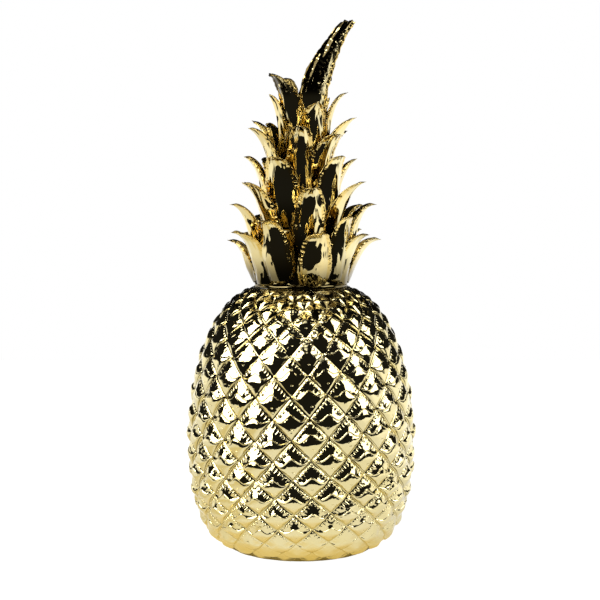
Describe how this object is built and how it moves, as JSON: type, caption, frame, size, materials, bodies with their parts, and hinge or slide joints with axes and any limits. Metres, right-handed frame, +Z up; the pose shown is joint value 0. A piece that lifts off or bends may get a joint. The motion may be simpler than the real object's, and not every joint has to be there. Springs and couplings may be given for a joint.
{
  "type": "pineapple ornament",
  "caption": "Standing pineapple ornament in gold-glazed porcelain: a hollow scaled fruit whose crown of curling leaves lifts off as a lid.",
  "frame": {"origin": "middle of the underside, on the jar's axis", "axes": "+Z up along the jar's axis, -Y towards the front that the picture shows, +X to the right of that view"},
  "size_m": [0.1406, 0.141, 0.3206],
  "materials": {
    "fruit_glaze": "mirror gold glaze, pale where it is thin on the crests, deeper in the grooves",
    "crown_glaze": "mirror gold glaze, deeper gold between the leaves"
  },
  "bodies": {
    "root": {"fruit_jar": "fruit_glaze", "crown_lid": "crown_glaze"}
  },
  "joints": []
}
